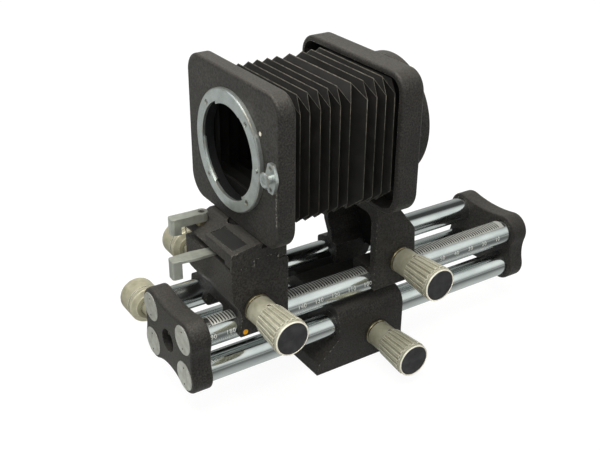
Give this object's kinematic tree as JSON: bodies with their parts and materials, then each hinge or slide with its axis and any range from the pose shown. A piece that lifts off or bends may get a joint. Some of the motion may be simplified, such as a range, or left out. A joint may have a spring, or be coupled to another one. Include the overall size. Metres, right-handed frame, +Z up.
{
  "type": "macro bellows unit",
  "caption": "Photographic macro bellows: pleated cloth between two standards on geared carriages that slide along four round rails above a tripod base.",
  "frame": {"origin": "centre of the tripod socket's mouth, on the flat underside of the base", "axes": "+Z up, -Y towards the lens, +X towards the three fluted focusing knobs"},
  "size_m": [0.1157, 0.2171, 0.1607],
  "materials": {
    "black_paint": "matte black crackle paint on cast aluminium, worn at the edges",
    "rail_chrome": "polished hard chrome on steel",
    "cap_steel": "satin",
    "knob_nickel": "satin nickel, warm",
    "knob_disc": "matte",
    "steel": "turned",
    "brass": "turned",
    "mount_chrome": "satin chrome on brass",
    "lever_chrome": "satin chrome",
    "frame_black": "matte black",
    "bellows_cloth": "black coated cloth",
    "dot_orange": "orange enamel dot",
    "dot_white": "white enamel dot"
  },
  "bodies": {
    "base": {"base_carriage": "black_paint", "tripod_bush": "brass", "base_pinion_bush": "brass"},
    "base_drive": {"base_pinion_shaft": "steel", "base_knob": "knob_nickel", "base_knob_cap": "knob_disc", "base_set_screw": "steel"},
    "rails": {"front_end_plate": "black_paint", "rear_end_plate": "black_paint", "front_rail_caps": "cap_steel", "rear_rail_caps": "cap_steel", "rail_upper_left": "rail_chrome", "rail_lower_left": "rail_chrome", "rail_upper_right": "rail_chrome", "rail_lower_right": "rail_chrome"},
    "rod_clamp": {"rod_clamp_knob": "knob_nickel"},
    "front_carriage": {"front_carriage": "black_paint", "index_dot": "dot_orange", "front_pinion_bush": "brass", "swing_lever_screw": "steel"},
    "front_drive": {"front_pinion_shaft": "steel", "front_knob": "knob_nickel", "front_knob_cap": "knob_disc", "front_set_screw": "steel"},
    "front_lock": {"front_lock_knob": "knob_nickel"},
    "swing_lever": {"swing_lever": "lever_chrome"},
    "swing_table": {"swing_table": "black_paint", "name_plate": "black_paint", "pivot_post": "steel", "pivot_washer": "steel", "shift_lever_bush": "brass", "shift_lever_screw": "steel"},
    "shift_lever": {"shift_lever": "lever_chrome"},
    "front_standard": {"front_standard": "black_paint", "lens_mount_ring": "mount_chrome", "ring_screws": "steel", "release_plate": "mount_chrome", "release_screws": "steel", "mount_index_dot": "dot_white", "bellows_front_frame": "frame_black", "bellows": "bellows_cloth"},
    "release": {"release_plunger": "mount_chrome"},
    "rear_carriage": {"rear_carriage": "black_paint", "rear_standard": "black_paint", "mount_drum": "black_paint", "bellows_rear_frame": "frame_black", "rear_pinion_bush": "brass"},
    "rear_drive": {"rear_pinion_shaft": "steel", "rear_knob": "knob_nickel", "rear_knob_cap": "knob_disc", "rear_set_screw": "steel"},
    "camera_mount": {"camera_turn_ring": "black_paint", "camera_ring_retainer": "frame_black", "camera_bayonet": "mount_chrome", "camera_bayonet_screws": "steel"}
  },
  "joints": [
    {"name": "focus_slide", "type": "slide", "parent": "base", "child": "rails", "axis": [0, 1, 0], "range_m": [-0.072, 0.067]},
    {"name": "base_drive_turn", "type": "hinge", "parent": "base", "child": "base_drive", "pos_m": [0.0264, 0.0037, 0.0142], "axis": [1, 0, 0], "continuous": true},
    {"name": "rod_clamp_turn", "type": "hinge", "parent": "rails", "child": "rod_clamp", "pos_m": [-0.0324, -0.0983, 0.0326], "axis": [1, 0, 0], "range_deg": [-270, 0]},
    {"name": "front_slide", "type": "slide", "parent": "rails", "child": "front_carriage", "axis": [0, 1, 0], "range_m": [-0.012, 0.015], "deforming": ["bellows"]},
    {"name": "front_drive_turn", "type": "hinge", "parent": "front_carriage", "child": "front_drive", "pos_m": [0.026, -0.0685, 0.0537], "axis": [1, 0, 0], "continuous": true},
    {"name": "front_lock_turn", "type": "hinge", "parent": "front_carriage", "child": "front_lock", "pos_m": [-0.042, -0.0685, 0.0537], "axis": [1, 0, 0], "range_deg": [-180, 0]},
    {"name": "swing_lever_turn", "type": "hinge", "parent": "front_carriage", "child": "swing_lever", "pos_m": [0.0045, -0.0774, 0.077], "axis": [0, 0, 1], "range_deg": [-20, 20]},
    {"name": "swing", "type": "hinge", "parent": "front_carriage", "child": "swing_table", "pos_m": [0, -0.0634, 0.0762], "axis": [0, 0, 1], "range_deg": [-20, 20], "deforming": ["bellows"]},
    {"name": "shift_lever_turn", "type": "hinge", "parent": "swing_table", "child": "shift_lever", "pos_m": [-0.0145, -0.0752, 0.0865], "axis": [0, 0, 1], "range_deg": [-25, 25]},
    {"name": "shift", "type": "slide", "parent": "swing_table", "child": "front_standard", "axis": [1, 0, 0], "range_m": [-0.01, 0.01], "deforming": ["bellows"]},
    {"name": "lens_release", "type": "slide", "parent": "front_standard", "child": "release", "axis": [0, 1, 0], "range_m": [0, 0.0018], "stiffness_N_per_m": 400, "springref_m": -0.003},
    {"name": "rear_slide", "type": "slide", "parent": "rails", "child": "rear_carriage", "axis": [0, 1, 0], "range_m": [-0.012, 0.07], "deforming": ["bellows"]},
    {"name": "rear_drive_turn", "type": "hinge", "parent": "rear_carriage", "child": "rear_drive", "pos_m": [0.026, 0.0173, 0.0537], "axis": [1, 0, 0], "continuous": true},
    {"name": "camera_turn", "type": "hinge", "parent": "rear_carriage", "child": "camera_mount", "pos_m": [0, 0.0194, 0.1237], "axis": [0, 1, 0], "range_deg": [0, 90]}
  ],
  "couplings": [
    {"joint": "base_drive_turn", "follows": "focus_slide", "rad_per_m": -333.33},
    {"joint": "front_drive_turn", "follows": "front_slide", "rad_per_m": -222.22},
    {"joint": "rear_drive_turn", "follows": "rear_slide", "rad_per_m": -222.22}
  ]
}
